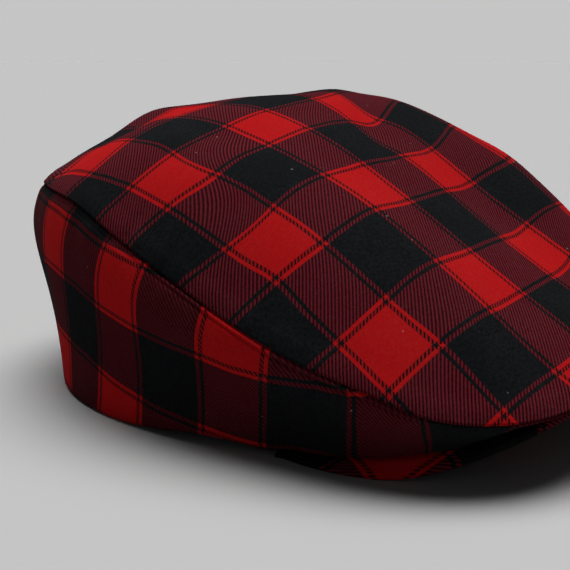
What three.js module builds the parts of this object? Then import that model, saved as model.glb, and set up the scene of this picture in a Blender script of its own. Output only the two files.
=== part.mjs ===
// A plaid flat cap as three cloth pieces: a one-piece crown, a side band that tapers towards
// the front, and a stiff peak under the crown's front edge.
// Millimetres, +Z up. The wearer's front is -Y and the wearer's left is +X. The cap stands on
// its rim, and its origin is the middle of its bounding box at floor level.
import * as THREE from "three";
import { mergeVertices } from "three/addons/utils/BufferGeometryUtils.js";

// ---- Driving dimensions -------------------------------------------------------------------

const GAP = 0.3; // kept between neighbouring pieces
const WALL = { crown: 2.0, band: 2.2, peak: 3.0, peakTip: 1.2 };

// Head opening, measured on the band's outer face.
const RIM = { halfWidth: 92.5, halfLength: 99, squareness: 2.23 };

// Seam between crown and band in plan. Turns are measured round its centre, from the front.
// The front half is squarer than the back half.
const SEAM = {
  halfWidth: 96.3, front: 124.4, back: 132.4, centreY: -19.7,
  frontSquareness: 2.94, backSquareness: 2.2,
};

// Sheet through the middle of the crown at seam level: high at the back, low at the front.
// The seam leaves it by its own height, which fades inwards with this power of the share.
const SHEET = { level: 72.5, slope: 0.271, sag: 0.00349, edgePower: 4 };

// Dome of the crown above that sheet. It leans up towards the wearer's left.
const DOME = { rise: 37.4, slopeX: 0.125, slopeY: -0.0915, sag: 0.000143, roundness: 4.69 };

// Peak: plan outline round its own centre, arch across the cap, ledge that shows. It thins
// over the last turns before each tip.
const PEAK = {
  halfWidth: 82.6, reach: 74.4, centreY: -66.1, squareness: 1.9,
  arch: 23, archHalfWidth: 88, flatBehindY: -41, archedByY: -77,
  tipTurn: 68, taperTurns: 28, ledge: 4.7, tipLedge: 1,
};

// The band's foot climbs from the floor onto the peak between these turns. Behind that it
// stands a little off the floor at the sides, and flat on it round the back.
const CLIMB = { startTurn: 76, endTurn: 68, blend: 2 };
const FOOT_LIFT = { height: 3.5, turn: 85, width: 16 };

// Around the cap from the front (0) to the back (180). The other side mirrors it.
// turn: degrees; seam: height of the crown seam; bulge: how far the band swells outwards.
const AROUND = [
  { turn: 0, seam: 30.0, bulge: 0.0 },
  { turn: 12, seam: 28.0, bulge: 0.0 },
  { turn: 22, seam: 24.6, bulge: 0.0 },
  { turn: 32, seam: 23.7, bulge: 0.3 },
  { turn: 41, seam: 25.6, bulge: 0.8 },
  { turn: 51, seam: 32.8, bulge: 1.5 },
  { turn: 62, seam: 39.1, bulge: 2.0 },
  { turn: 74, seam: 47.0, bulge: 3.0 },
  { turn: 90, seam: 58.1, bulge: 4.1 },
  { turn: 110, seam: 71.7, bulge: 4.1 },
  { turn: 122, seam: 78.4, bulge: 3.9 },
  { turn: 136, seam: 80.3, bulge: 4.4 },
  { turn: 152, seam: 79.6, bulge: 7.0 },
  { turn: 180, seam: 79.4, bulge: 8.6 },
];
const BULGE_POWER = 2.4; // puts the swell's crest just under the seam

// Soft folds and dents of the crown. x, y: middle; heading: degrees from +X; length and
// width: half sizes along and across; height: up, or down where negative.
const FOLDS = [
  { name: "near shoulder", x: -45, y: -77, heading: 78, length: 57, width: 19, height: 3.8 },
  { name: "middle sag", x: 9, y: -86, heading: 89, length: 57, width: 25, height: -4.3 },
  { name: "near slack", x: -36, y: -35, heading: 101, length: 55, width: 17, height: -2.7 },
  { name: "back groove", x: -38, y: 62, heading: 8, length: 28, width: 9, height: -1.9 },
  { name: "back crest", x: -12, y: 75, heading: 33, length: 14, width: 17, height: 5.5 },
  { name: "left dip behind", x: 30, y: 37, heading: 26, length: 12, width: 14, height: -6.9 },
  { name: "left hollow", x: 25, y: -15, heading: 42, length: 36, width: 9, height: -3.9 },
  { name: "left front ripple", x: 64, y: -57, heading: 44, length: 37, width: 10, height: 1.6 },
  { name: "left front hollow", x: 30, y: -65, heading: 82, length: 51, width: 19, height: -6.0 },
];
const FOLD_EDGE_POWER = 8; // the folds flatten towards the seam

// Facets.
const FACETS = { around: 90, crownRings: 18, crownRingSpacing: 0.78, bandRows: 7 };

// ---- Small helpers ------------------------------------------------------------------------

const radians = (degrees) => (degrees * Math.PI) / 180;
const mix = (a, b, t) => a + (b - a) * t;
const clamp = (t) => Math.min(1, Math.max(0, t));
const smooth = (from, to, value) => {
  const t = clamp((value - from) / (to - from));
  return t * t * (3 - 2 * t);
};
const smoothMax = (a, b, softness) => (a + b + Math.hypot(a - b, softness)) / 2;

// A turn of 0 looks at the front, 90 at the wearer's left, 180 at the back.
const heading = (turn) => [Math.sin(radians(turn)), -Math.cos(radians(turn))];

// Folds any turn onto 0 to 180, where the tables are written.
const halfTurn = (turn) => {
  const whole = ((turn % 360) + 360) % 360;
  return whole > 180 ? 360 - whole : whole;
};

// Smooth curve through one column of AROUND, level at the front and at the back.
function around(column, turn) {
  const at = halfTurn(turn);
  const last = AROUND.length - 1;
  const next = Math.min(last, Math.max(1, AROUND.findIndex((row) => row.turn >= at)));
  const [a, b] = [AROUND[next - 1], AROUND[next]];
  const slope = (i) => {
    if (i === 0 || i === last) return 0;
    const [before, after] = [AROUND[i - 1], AROUND[i + 1]];
    return (after[column] - before[column]) / (after.turn - before.turn);
  };
  const span = b.turn - a.turn;
  const t = (at - a.turn) / span;
  const [t2, t3] = [t * t, t * t * t];
  return (2 * t3 - 3 * t2 + 1) * a[column] + (t3 - 2 * t2 + t) * span * slope(next - 1)
    + (3 * t2 - 2 * t3) * b[column] + (t3 - t2) * span * slope(next);
}

// ---- Outlines in plan ---------------------------------------------------------------------

// Each outline is a measure that is 1 on the outline and less inside it.
const oval = (across, along, n) =>
  (Math.abs(across) ** n + Math.abs(along) ** n) ** (1 / n);
const seamMeasure = (x, y) => {
  const along = y - SEAM.centreY;
  const [half, squareness] = along < 0
    ? [SEAM.front, SEAM.frontSquareness]
    : [SEAM.back, SEAM.backSquareness];
  return oval(x / SEAM.halfWidth, along / half, squareness);
};
const rimMeasure = (x, y) => oval(x / RIM.halfWidth, y / RIM.halfLength, RIM.squareness);
const innerRimMeasure = (x, y) =>
  oval(x / (RIM.halfWidth - WALL.band), y / (RIM.halfLength - WALL.band), RIM.squareness);
const peakMeasure = (x, y) =>
  oval(x / PEAK.halfWidth, (y - PEAK.centreY) / PEAK.reach, PEAK.squareness);

const LONGEST_REACH = 200;
const HALVINGS = 40;

// Distance from the seam's centre to an outline, at a turn.
function reach(measure, turn) {
  const [dx, dy] = heading(turn);
  let [near, far] = [0, LONGEST_REACH];
  for (let step = 0; step < HALVINGS; step += 1) {
    const middle = (near + far) / 2;
    if (measure(dx * middle, SEAM.centreY + dy * middle) < 1) near = middle;
    else far = middle;
  }
  return (near + far) / 2;
}

const place = (turn, distance) => {
  const [dx, dy] = heading(turn);
  return [dx * distance, SEAM.centreY + dy * distance];
};

// ---- Surfaces -----------------------------------------------------------------------------

const sheetHeight = (y) => SHEET.level + SHEET.slope * y - SHEET.sag * y * y;

function foldHeight(x, y) {
  let total = 0;
  for (const fold of FOLDS) {
    const [c, s] = [Math.cos(radians(fold.heading)), Math.sin(radians(fold.heading))];
    const along = ((x - fold.x) * c + (y - fold.y) * s) / fold.length;
    const across = ((y - fold.y) * c - (x - fold.x) * s) / fold.width;
    total += fold.height * Math.exp(-along * along - across * across);
  }
  return total;
}

// Outer face of the crown. share runs from 0 at the seam's centre to 1 on the seam.
function crownPoint(turn, share) {
  const edge = reach(seamMeasure, turn);
  const [, edgeY] = place(turn, edge);
  const [x, y] = place(turn, edge * share);
  const rise = DOME.rise + DOME.slopeX * x + DOME.slopeY * y - DOME.sag * y * y;
  const edgeLift = around("seam", turn) - sheetHeight(edgeY);
  const z = sheetHeight(y) + edgeLift * share ** SHEET.edgePower
    + rise * (1 - share ** DOME.roundness)
    + foldHeight(x, y) * (1 - share ** FOLD_EDGE_POWER);
  return new THREE.Vector3(x, y, z);
}

const peakWall = (turn) => {
  const taper = smooth(PEAK.tipTurn - PEAK.taperTurns, PEAK.tipTurn, halfTurn(turn));
  return mix(WALL.peak, WALL.peakTip, taper);
};

// Underside of the peak: an arch across the cap that flattens onto the floor at its tips.
function peakUnderside(x, y) {
  const across = Math.min(1, Math.abs(x) / PEAK.archHalfWidth);
  const arch = PEAK.arch * (1 - across ** 2) ** 2;
  return arch * smooth(PEAK.flatBehindY, PEAK.archedByY, y);
}

// Foot of the band: on the floor round the sides and back, on the peak round the front.
const climbing = (turn) => 1 - smooth(CLIMB.endTurn, CLIMB.startTurn, halfTurn(turn));

// Edge of the peak, which still stands proud of the band at its tips.
function peakEdge(turn) {
  const tip = reach(rimMeasure, turn) + PEAK.tipLedge;
  return smoothMax(reach(peakMeasure, turn), tip, CLIMB.blend);
}

function footDistance(turn) {
  const rim = reach(rimMeasure, turn);
  const ledge = peakEdge(turn) - PEAK.ledge;
  return mix(rim, smoothMax(rim, ledge, CLIMB.blend), climbing(turn));
}

function footPoint(turn, distance) {
  const [x, y] = place(turn, distance);
  const onPeak = peakUnderside(x, y) + peakWall(turn) + GAP;
  const aside = (halfTurn(turn) - FOOT_LIFT.turn) / FOOT_LIFT.width;
  const offFloor = FOOT_LIFT.height * Math.exp(-aside * aside);
  return new THREE.Vector3(x, y, mix(offFloor, onPeak, climbing(turn)));
}

// Outer face of the band. share runs from 0 at the foot to 1 at the seam.
function bandPoint(turn, share) {
  const foot = footPoint(turn, footDistance(turn));
  const [topX, topY] = place(turn, reach(seamMeasure, turn));
  const top = new THREE.Vector3(topX, topY, around("seam", turn) - GAP);
  const swell = around("bulge", turn) * Math.sin(Math.PI * share ** BULGE_POWER);
  const [dx, dy] = heading(turn);
  return foot.lerp(top, share).add(new THREE.Vector3(dx * swell, dy * swell, 0));
}

// ---- Meshes -------------------------------------------------------------------------------

const MERGE_WITHIN = 1e-4; // corners closer than this are one corner
const STEEPEST_CUT = 0.5; // keeps the level cut on the crown's edge from growing too wide
const NEAR_APEX = 0.02; // normals at the apex are taken at this share
const LEDGE_ROW = 0.4; // place of the peak's extra row between its edge and the foot

// Closes a grid of outer points and a matching grid of inner points into one body.
// grid[row][column]; wrap joins the last column to the first.
function closedShell(outer, inner, { wrap, apex }) {
  const positions = [];
  const triangle = (a, b, c) => positions.push(...a.toArray(), ...b.toArray(), ...c.toArray());
  const quad = (a, b, c, d) => {
    triangle(a, b, c);
    triangle(a, c, d);
  };
  const rows = outer.length;
  const columns = outer[0].length;
  const spans = wrap ? columns : columns - 1;
  const after = (column) => (column + 1) % columns;
  for (let row = 0; row < rows - 1; row += 1) {
    for (let column = 0; column < spans; column += 1) {
      const next = after(column);
      quad(outer[row][column], outer[row][next], outer[row + 1][next], outer[row + 1][column]);
      quad(inner[row][column], inner[row + 1][column], inner[row + 1][next], inner[row][next]);
    }
  }
  const last = rows - 1;
  for (let column = 0; column < spans; column += 1) {
    const next = after(column);
    quad(outer[0][next], outer[0][column], inner[0][column], inner[0][next]);
    if (apex) {
      triangle(outer[last][column], outer[last][next], apex.outer);
      triangle(inner[last][next], inner[last][column], apex.inner);
    } else {
      quad(outer[last][column], outer[last][next], inner[last][next], inner[last][column]);
    }
  }
  if (!wrap) {
    for (let row = 0; row < last; row += 1) {
      const end = columns - 1;
      quad(outer[row][0], outer[row + 1][0], inner[row + 1][0], inner[row][0]);
      quad(outer[row + 1][end], outer[row][end], inner[row][end], inner[row + 1][end]);
    }
  }
  const geometry = new THREE.BufferGeometry();
  geometry.setAttribute("position", new THREE.Float32BufferAttribute(positions, 3));
  const merged = mergeVertices(geometry, MERGE_WITHIN);
  merged.computeVertexNormals();
  return merged;
}

const turnsAround = Array.from({ length: FACETS.around }, (_, i) => (360 * i) / FACETS.around);

// Outward normal of a surface given as a function of turn and share.
function normalOf(surface, turn, share, step = 0.01) {
  const base = Math.min(share, 1 - step);
  const round = surface(turn + 1, base).sub(surface(turn - 1, base));
  const inward = surface(turn, base + step).sub(surface(turn, base));
  return round.cross(inward).normalize();
}

function crownGeometry() {
  const shares = Array.from({ length: FACETS.crownRings }, (_, i) => {
    const t = 1 - i / FACETS.crownRings;
    return t ** FACETS.crownRingSpacing;
  });
  const outer = shares.map((share) => turnsAround.map((turn) => crownPoint(turn, share)));
  const inner = shares.map((share, ring) => turnsAround.map((turn) => {
    const down = normalOf(crownPoint, turn, Math.max(share, NEAR_APEX));
    if (down.z > 0) down.negate();
    if (ring > 0) return crownPoint(turn, share).addScaledVector(down, WALL.crown);
    // On the seam the wall is cut level, so the edge faces the band's top squarely.
    const steepness = Math.max(STEEPEST_CUT, Math.hypot(down.x, down.y));
    const [x, y] = place(turn, reach(seamMeasure, turn) - WALL.crown / steepness);
    return new THREE.Vector3(x, y, around("seam", turn));
  }));
  const top = crownPoint(0, 0);
  const apex = { outer: top, inner: top.clone().add(new THREE.Vector3(0, 0, -WALL.crown)) };
  return closedShell(outer, inner, { wrap: true, apex });
}

function bandGeometry() {
  const shares = Array.from({ length: FACETS.bandRows + 1 }, (_, i) => i / FACETS.bandRows);
  const outer = shares.map((share) => turnsAround.map((turn) => bandPoint(turn, share)));
  const inner = shares.map((share) => turnsAround.map((turn) => {
    if (share === 0) return footPoint(turn, footDistance(turn) - WALL.band);
    const [dx, dy] = heading(turn);
    return bandPoint(turn, share).add(new THREE.Vector3(-dx * WALL.band, -dy * WALL.band, 0));
  }));
  return closedShell(outer, inner, { wrap: true });
}

// The peak shares the band's turns, and has a row of corners under each face of its foot.
function peakGeometry() {
  const turns = turnsAround
    .map((turn) => (turn > 180 ? turn - 360 : turn))
    .filter((turn) => Math.abs(turn) <= PEAK.tipTurn)
    .sort((a, b) => a - b);
  const columns = turns.map((turn) => {
    const edge = peakEdge(turn);
    const foot = footDistance(turn);
    const innerFoot = foot - WALL.band;
    const opening = reach(innerRimMeasure, turn);
    const middle = mix(innerFoot, opening, 0.5);
    return [edge, mix(edge, foot, LEDGE_ROW), foot, innerFoot, middle, opening];
  });
  const rows = columns[0].map((_, row) => turns.map((turn, column) => {
    const [x, y] = place(turn, columns[column][row]);
    return { x, y, wall: peakWall(turn) };
  }));
  const sheet = (lift) => rows.map((row) => row.map(({ x, y, wall }) =>
    new THREE.Vector3(x, y, peakUnderside(x, y) + lift * wall)));
  return closedShell(sheet(1), sheet(0), { wrap: false });
}

// ---- The cap ------------------------------------------------------------------------------

const cloth = (color) => new THREE.MeshStandardMaterial({ color, roughness: 0.92, metalness: 0 });
const PIECES = [
  { name: "crown", geometry: crownGeometry(), material: cloth(0x8f1a22) },
  { name: "side_band", geometry: bandGeometry(), material: cloth(0x5c1119) },
  { name: "peak", geometry: peakGeometry(), material: cloth(0x3a1216) },
];

const cap = new THREE.Group();
cap.name = "flat_cap";
for (const { name, geometry, material } of PIECES) {
  const mesh = new THREE.Mesh(geometry, material);
  mesh.name = name;
  cap.add(mesh);
}

// Put the origin in the middle of the bounding box, at floor level.
const box = new THREE.Box3().setFromObject(cap);
cap.position.set(-(box.min.x + box.max.x) / 2, -(box.min.y + box.max.y) / 2, -box.min.z);

export default cap;
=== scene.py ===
"""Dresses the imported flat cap: crown, side band and peak of checked flannel.

The lengths in the classes are millimetres in the pattern frame: the middle of the head
opening is at (0, 0), the wearer's front is -Y and the floor is z = 0. CapForm.to_frame turns
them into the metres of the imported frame. A turn is an angle in degrees round the seam's
centre: 0 is the front, 90 the wearer's left.
"""

import logging
import math
from dataclasses import dataclass, replace
from enum import Enum

import bpy
import numpy as np
from mathutils import Matrix, Vector


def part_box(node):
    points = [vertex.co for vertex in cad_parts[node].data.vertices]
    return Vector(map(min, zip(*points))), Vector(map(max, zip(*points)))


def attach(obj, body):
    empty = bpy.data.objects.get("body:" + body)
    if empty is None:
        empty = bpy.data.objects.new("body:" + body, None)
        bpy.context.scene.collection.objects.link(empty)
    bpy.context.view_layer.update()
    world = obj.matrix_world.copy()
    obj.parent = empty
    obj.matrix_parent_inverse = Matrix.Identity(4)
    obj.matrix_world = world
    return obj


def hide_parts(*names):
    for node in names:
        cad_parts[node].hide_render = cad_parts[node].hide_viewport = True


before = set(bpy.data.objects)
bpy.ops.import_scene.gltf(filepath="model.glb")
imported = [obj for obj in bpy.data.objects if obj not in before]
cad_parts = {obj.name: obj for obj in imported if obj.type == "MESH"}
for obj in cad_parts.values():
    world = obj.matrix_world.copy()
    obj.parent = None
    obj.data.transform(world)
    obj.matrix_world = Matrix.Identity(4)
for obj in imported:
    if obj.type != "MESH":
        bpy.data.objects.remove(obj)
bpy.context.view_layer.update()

LOG = logging.getLogger("flat_cap")
CLOTH_MAP = "ClothMap"
MIX_COLOURS = (6, 7)  # places of the colours that go into a mix node
MIX_RESULT = 2
MM = 0.001
TINY = 1e-9
Colour = tuple[float, float, float]


# ---- Small helpers --------------------------------------------------------------------------


def heading(turn: np.ndarray) -> tuple[np.ndarray, np.ndarray]:
    """Gives the plan direction of a turn: 0 looks at the front, 90 at the wearer's left."""
    angle = np.radians(turn)
    return np.sin(angle), -np.cos(angle)


def outwards(turn: np.ndarray) -> np.ndarray:
    """Gives the level vector of length 1 that points out at a turn."""
    dx, dy = heading(turn)
    return np.stack([dx, dy, np.zeros_like(dx)], -1)


def half_turn(turn: np.ndarray) -> np.ndarray:
    """Folds any turn onto 0 to 180, where the tables are written."""
    whole = np.mod(turn, 360.0)
    return np.where(whole > 180, 360 - whole, whole)


def all_round(columns: int) -> np.ndarray:
    """Spaces turns evenly from the centre back right round, and leaves out the last."""
    return np.linspace(-180, 180, columns + 1)[:-1]


def mix(a: np.ndarray, b: np.ndarray, share: np.ndarray) -> np.ndarray:
    """Goes from a to b with the share."""
    return a + (b - a) * share


def smooth(start: float, end: float, value: np.ndarray) -> np.ndarray:
    """Rises smoothly from 0 at start to 1 at end."""
    t = np.clip((value - start) / (end - start), 0, 1)
    return t * t * (3 - 2 * t)


def smooth_max(a: np.ndarray, b: np.ndarray, softness: float) -> np.ndarray:
    """Takes the larger of two values with a rounded changeover."""
    return (a + b + np.hypot(a - b, softness)) / 2


def bell(value: np.ndarray, middle: float, width: float | np.ndarray) -> np.ndarray:
    """Gives a bell curve of height 1."""
    return np.exp(-(((value - middle) / width) ** 2))


def beside_seam(distance: np.ndarray, start: float, fade: float) -> np.ndarray:
    """Rises from 0 at a seam over the start, and dies away with the fade."""
    return np.exp(-distance / fade) * smooth(0.0, start, distance)


def arc_lengths(points: np.ndarray, axis: int) -> np.ndarray:
    """Adds up the distance along one axis of a grid of points.

    Args:
        points: The grid, with a point's coordinates last.
        axis: The axis to go along.

    Returns:
        The distance of each point, from 0 at the axis' first row.
    """
    steps = np.linalg.norm(np.diff(points, axis=axis), axis=-1)
    start = np.zeros_like(np.take(steps, [0], axis=axis))
    return np.cumsum(np.concatenate([start, steps], axis=axis), axis=axis)


def outward_normals(rows: np.ndarray) -> np.ndarray:
    """Finds the normals of a face that closes round the cap.

    Args:
        rows: Points as rows x columns. The rows run down the cap, the columns with the turn.

    Returns:
        One normal of length 1 for each point, looking outwards.
    """
    round_step = np.roll(rows, -1, axis=1) - np.roll(rows, 1, axis=1)
    normals = np.cross(np.gradient(rows, axis=0), round_step)
    return normals / np.maximum(np.linalg.norm(normals, axis=-1, keepdims=True), TINY)


# ---- Form -----------------------------------------------------------------------------------


@dataclass(frozen=True)
class Station:
    """One row of the table round the cap."""

    turn: float
    seam: float  # height of the crown seam
    bulge: float  # how far the band swells outwards


@dataclass(frozen=True)
class Fold:
    """A soft fold of the crown, or a dent where its height is below 0."""

    name: str
    x: float
    y: float
    heading: float  # degrees from +X
    length: float
    width: float
    height: float

    def lift(self, x: np.ndarray, y: np.ndarray) -> np.ndarray:
        """Shapes the fold.

        Args:
            x: X of points in plan.
            y: Y of the points.

        Returns:
            The height that the fold adds at each point.
        """
        c, s = math.cos(math.radians(self.heading)), math.sin(math.radians(self.heading))
        along = ((x - self.x) * c + (y - self.y) * s) / self.length
        across = ((y - self.y) * c - (x - self.x) * s) / self.width
        return self.height * np.exp(-(along**2) - across**2)


@dataclass(frozen=True)
class Ripple:
    """A row of small waves round the cap, which may bunch up and spread out."""

    waves: int  # how many go round the cap
    start: float = 0.0  # radians
    height: float = 1.0
    bunching: float = 0.0  # how far the waves move together, in radians
    bunches: int = 0  # how many times they do so round the cap
    bunch_start: float = 0.0  # radians

    def lift(self, turn: np.ndarray) -> np.ndarray:
        """Shapes the waves.

        Args:
            turn: Turns in degrees.

        Returns:
            The height at each turn, up to the ripple's own above and below 0.
        """
        angle = np.radians(turn)
        moved = self.bunching * np.sin(self.bunches * angle + self.bunch_start)
        return self.height * np.sin(self.waves * angle + self.start + moved)


@dataclass(frozen=True)
class Oval:
    """An outline in plan, squarer than an ellipse where its powers are above 2."""

    half_width: float
    front: float
    back: float
    centre_y: float = 0.0
    front_power: float = 2.0
    back_power: float = 2.0
    farthest: float = 200.0  # no point of an outline is further from a centre
    halvings: int = 40

    def measure(self, x: np.ndarray, y: np.ndarray) -> np.ndarray:
        """Compares points with the outline.

        Args:
            x: X of the points.
            y: Y of the points.

        Returns:
            1 on the outline, less inside it and more outside it.
        """
        along = y - self.centre_y
        ahead = along < 0
        half = np.where(ahead, self.front, self.back)
        power = np.where(ahead, self.front_power, self.back_power)
        across = np.abs(x / self.half_width) ** power
        return (across + np.abs(along / half) ** power) ** (1 / power)

    def reach(self, centre_y: float, turn: np.ndarray) -> np.ndarray:
        """Measures the distance to the outline from a centre, by halving.

        Args:
            centre_y: Y of the centre that the turns go round.
            turn: Turns in degrees.

        Returns:
            One distance for each turn.
        """
        dx, dy = heading(turn)
        near, far = np.zeros_like(dx), np.full_like(dx, self.farthest)
        for _ in range(self.halvings):
            middle = (near + far) / 2
            inside = self.measure(dx * middle, centre_y + dy * middle) < 1
            near, far = np.where(inside, middle, near), np.where(inside, far, middle)
        return (near + far) / 2

    def inset(self, wall: float) -> "Oval":
        """Draws the outline of an inner face, a wall's thickness further in."""
        half_width, front, back = (size - wall for size in (self.half_width, self.front, self.back))
        return replace(self, half_width=half_width, front=front, back=back)


STATIONS = (
    Station(0, 30.0, 0.0),
    Station(12, 28.0, 0.0),
    Station(22, 24.6, 0.0),
    Station(32, 23.7, 0.3),
    Station(41, 25.6, 0.8),
    Station(51, 32.8, 1.5),
    Station(62, 39.1, 2.0),
    Station(74, 47.0, 3.0),
    Station(90, 58.1, 4.1),
    Station(110, 71.7, 4.1),
    Station(122, 78.4, 3.9),
    Station(136, 80.3, 4.4),
    Station(152, 79.6, 7.0),
    Station(180, 79.4, 8.6),
)

FOLDS = (
    Fold("near shoulder", -45, -77, 78, 57, 19, 3.8),
    Fold("middle sag", 9, -86, 89, 57, 25, -4.3),
    Fold("near slack", -36, -35, 101, 55, 17, -2.7),
    Fold("back groove", -38, 62, 8, 28, 9, -1.9),
    Fold("back crest", -12, 75, 33, 14, 17, 5.5),
    Fold("left dip behind", 30, 37, 26, 12, 14, -6.9),
    Fold("left hollow", 25, -15, 42, 36, 9, -3.9),
    Fold("left front ripple", 64, -57, 44, 37, 10, 1.6),
    Fold("left front hollow", 30, -65, 82, 51, 19, -6.0),
)


@dataclass(frozen=True)
class CapForm:
    """The cap's surfaces, from the same dimensions as its solids."""

    gap: float = 0.3
    crown_wall: float = 2.0
    band_wall: float = 2.2
    peak_wall: float = 3.0
    peak_tip_wall: float = 1.2
    # Outlines in plan: the crown seam, the foot on the floor, and the peak
    seam: Oval = Oval(96.3, 124.4, 132.4, centre_y=-19.7, front_power=2.94, back_power=2.2)
    rim: Oval = Oval(92.5, 99.0, 99.0, front_power=2.23, back_power=2.23)
    peak: Oval = Oval(82.6, 74.4, 74.4, centre_y=-66.1, front_power=1.9, back_power=1.9)
    # The sheet through the crown at seam level, and the dome over it
    sheet_level: float = 72.5
    sheet_slope: float = 0.271
    sheet_sag: float = 0.00349
    dome_rise: float = 37.4
    dome_slope_x: float = 0.125
    dome_slope_y: float = -0.0915
    dome_sag: float = 0.000143
    dome_roundness: float = 4.69
    edge_power: float = 4.0
    fold_edge_power: float = 8.0
    bulge_power: float = 2.4
    # The peak's arch, and how its edge and the band's foot go round it
    arch: float = 23.0
    arch_half_width: float = 88.0
    flat_behind_y: float = -41.0
    arched_by_y: float = -77.0
    tip_turn: float = 68.0
    taper_turns: float = 28.0
    ledge: float = 4.7
    tip_ledge: float = 1.0
    climb_start: float = 76.0
    climb_end: float = 68.0
    climb_blend: float = 2.0
    # The arc under the band's foot at the cap's sides
    foot_lift: float = 3.5
    foot_lift_turn: float = 85.0
    foot_lift_width: float = 16.0
    stations: tuple[Station, ...] = STATIONS
    folds: tuple[Fold, ...] = FOLDS

    def shift_y(self) -> float:
        """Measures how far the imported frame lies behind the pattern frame, in mm."""
        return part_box("crown")[0].y / MM - (self.seam.centre_y - self.seam.front)

    def to_frame(self, points: np.ndarray) -> np.ndarray:
        """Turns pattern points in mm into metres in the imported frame."""
        return (points + np.array([0.0, self.shift_y(), 0.0])) * MM

    def around(self, column: str, turn: np.ndarray) -> np.ndarray:
        """Runs a smooth curve through one column of the stations.

        Args:
            column: "seam" or "bulge".
            turn: Turns in degrees.

        Returns:
            The column's value at each turn.
        """
        at = half_turn(turn)
        x = np.array([row.turn for row in self.stations])
        y = np.array([getattr(row, column) for row in self.stations])
        slope = np.zeros(len(x))
        slope[1:-1] = (y[2:] - y[:-2]) / (x[2:] - x[:-2])
        b = np.clip(np.searchsorted(x, at), 1, len(x) - 1)
        a = b - 1
        span = x[b] - x[a]
        t = (at - x[a]) / span
        t2, t3 = t * t, t**3
        near = (2 * t3 - 3 * t2 + 1) * y[a] + (t3 - 2 * t2 + t) * span * slope[a]
        return near + (3 * t2 - 2 * t3) * y[b] + (t3 - t2) * span * slope[b]

    def reach(self, outline: Oval, turn: np.ndarray) -> np.ndarray:
        """Measures the distance from the seam's centre to an outline."""
        return outline.reach(self.seam.centre_y, turn)

    def place(self, turn: np.ndarray, distance: np.ndarray) -> tuple[np.ndarray, np.ndarray]:
        """Gives the plan point at a distance from the seam's centre."""
        dx, dy = heading(turn)
        return dx * distance, self.seam.centre_y + dy * distance

    def sheet_height(self, y: np.ndarray) -> np.ndarray:
        """Gives the height of the sheet through the middle of the crown at seam level."""
        return self.sheet_level + self.sheet_slope * y - self.sheet_sag * y * y

    def crown_height(self, x: np.ndarray, y: np.ndarray) -> np.ndarray:
        """Shapes the crown's outer face: a sheet through its edge, the dome and the folds.

        Args:
            x: X of points in plan.
            y: Y of the points.

        Returns:
            The height of the face over each point.
        """
        share = np.minimum(self.seam.measure(x, y), 1.0)
        turn = np.degrees(np.arctan2(x, -(y - self.seam.centre_y)))
        _, edge_y = self.place(turn, self.reach(self.seam, turn))
        edge_lift = self.around("seam", turn) - self.sheet_height(edge_y)
        rise = self.dome_rise + self.dome_slope_x * x + self.dome_slope_y * y - self.dome_sag * y * y
        folds = sum(fold.lift(x, y) for fold in self.folds)
        return (
            self.sheet_height(y)
            + edge_lift * share**self.edge_power
            + rise * (1 - share**self.dome_roundness)
            + folds * (1 - share**self.fold_edge_power)
        )

    def peak_thickness(self, turn: np.ndarray) -> np.ndarray:
        """Thins the peak towards its tips."""
        taper = smooth(self.tip_turn - self.taper_turns, self.tip_turn, half_turn(turn))
        return mix(self.peak_wall, self.peak_tip_wall, taper)

    def peak_underside(self, x: np.ndarray, y: np.ndarray) -> np.ndarray:
        """Arches the peak across the cap, down onto the floor at its tips.

        Args:
            x: X of points in plan.
            y: Y of the points.

        Returns:
            The height of the underside over each point.
        """
        across = np.minimum(1, np.abs(x) / self.arch_half_width)
        rising = smooth(self.flat_behind_y, self.arched_by_y, y)
        return self.arch * (1 - across**2) ** 2 * rising

    def climbing(self, turn: np.ndarray) -> np.ndarray:
        """Gives 1 where the band's foot stands on the peak and 0 where it is on the floor."""
        return 1 - smooth(self.climb_end, self.climb_start, half_turn(turn))

    def peak_edge(self, turn: np.ndarray) -> np.ndarray:
        """Measures the distance to the peak's edge, which stays proud of the band."""
        tip = self.reach(self.rim, turn) + self.tip_ledge
        return smooth_max(self.reach(self.peak, turn), tip, self.climb_blend)

    def foot_distance(self, turn: np.ndarray) -> np.ndarray:
        """Follows the band's foot from the floor's outline onto the peak.

        Args:
            turn: Turns in degrees.

        Returns:
            The distance from the seam's centre to the foot at each turn.
        """
        rim = self.reach(self.rim, turn)
        ledge = self.peak_edge(turn) - self.ledge
        return mix(rim, smooth_max(rim, ledge, self.climb_blend), self.climbing(turn))

    def foot_point(self, turn: np.ndarray, distance: np.ndarray) -> np.ndarray:
        """Sets points on what the band's foot stands on.

        Args:
            turn: Turns in degrees.
            distance: Distance of each point from the seam's centre.

        Returns:
            Points in mm.
        """
        x, y = self.place(turn, distance)
        on_peak = self.peak_underside(x, y) + self.peak_thickness(turn) + self.gap
        arc = bell(half_turn(turn), self.foot_lift_turn, self.foot_lift_width)
        return np.stack([x, y, mix(self.foot_lift * arc, on_peak, self.climbing(turn))], -1)

    def band_point(self, turn: np.ndarray, share: np.ndarray) -> np.ndarray:
        """Shapes the band's outer face.

        Args:
            turn: Turns in degrees.
            share: How far up each point is, from 0 at the foot to 1 at the seam.

        Returns:
            Points in mm.
        """
        foot = self.foot_point(turn, self.foot_distance(turn))
        x, y = self.place(turn, self.reach(self.seam, turn))
        top = np.stack([x, y, self.around("seam", turn) - self.gap], -1)
        swell = self.around("bulge", turn) * np.sin(np.pi * share**self.bulge_power)
        return mix(foot, top, share[..., None]) + outwards(turn) * swell[..., None]


# ---- Meshes ---------------------------------------------------------------------------------


class Face(Enum):
    """Material places of a piece."""

    OUTSIDE = 0
    REVERSE = 1


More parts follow.
